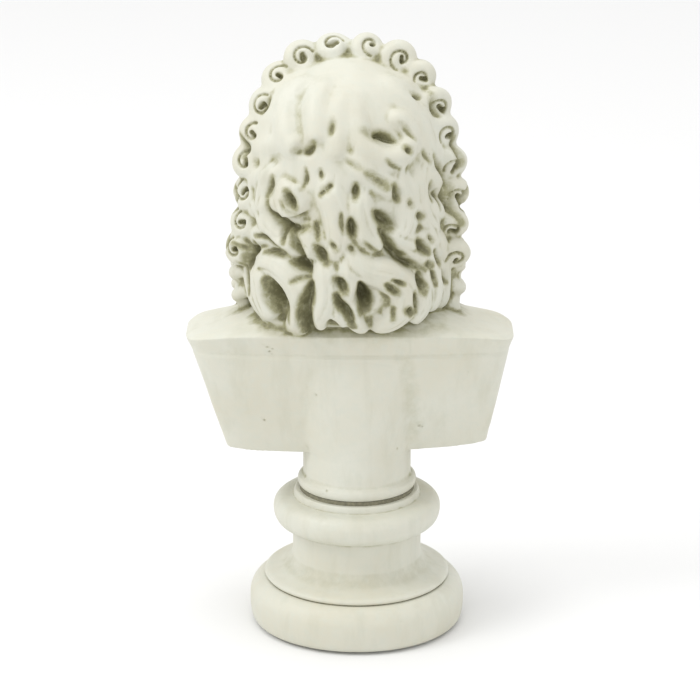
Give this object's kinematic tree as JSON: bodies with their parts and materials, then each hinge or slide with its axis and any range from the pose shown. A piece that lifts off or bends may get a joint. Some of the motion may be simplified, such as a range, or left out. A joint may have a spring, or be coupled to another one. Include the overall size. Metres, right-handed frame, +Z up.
{
  "type": "marble bust",
  "caption": "Desk-size portrait bust with long drilled curls on a flat-backed shoulder cut, standing on a round turned socle and plinth, clamped by a central rod.",
  "frame": {"origin": "centre of the underside, on the axis of the pillar and the socle", "axes": "+Z up along the pillar, the face looks along -Y, +X is the figure's left-hand side"},
  "size_m": [0.1616, 0.1093, 0.2994],
  "materials": {
    "cast_marble": "satin, hand rubbed, with grime in the drilled hollows",
    "bedding": "matt lime bedding, dirty",
    "brass": "turned",
    "resin": "cured polyester resin",
    "zinc_steel": "zinc plated",
    "spring_steel": "blued",
    "felt": "wool felt"
  },
  "bodies": {
    "root": {"bust_casting": "cast_marble", "foot_bed": "bedding", "socle": "cast_marble", "plinth_bed": "bedding", "plinth": "cast_marble", "anchor_sleeve": "brass", "anchor_resin": "resin", "threaded_rod": "zinc_steel", "clamp_washer": "zinc_steel", "spring_washer": "spring_steel", "clamp_nut": "zinc_steel", "dowel_left": "zinc_steel", "dowel_right": "zinc_steel", "felt_pad": "felt"}
  },
  "joints": []
}
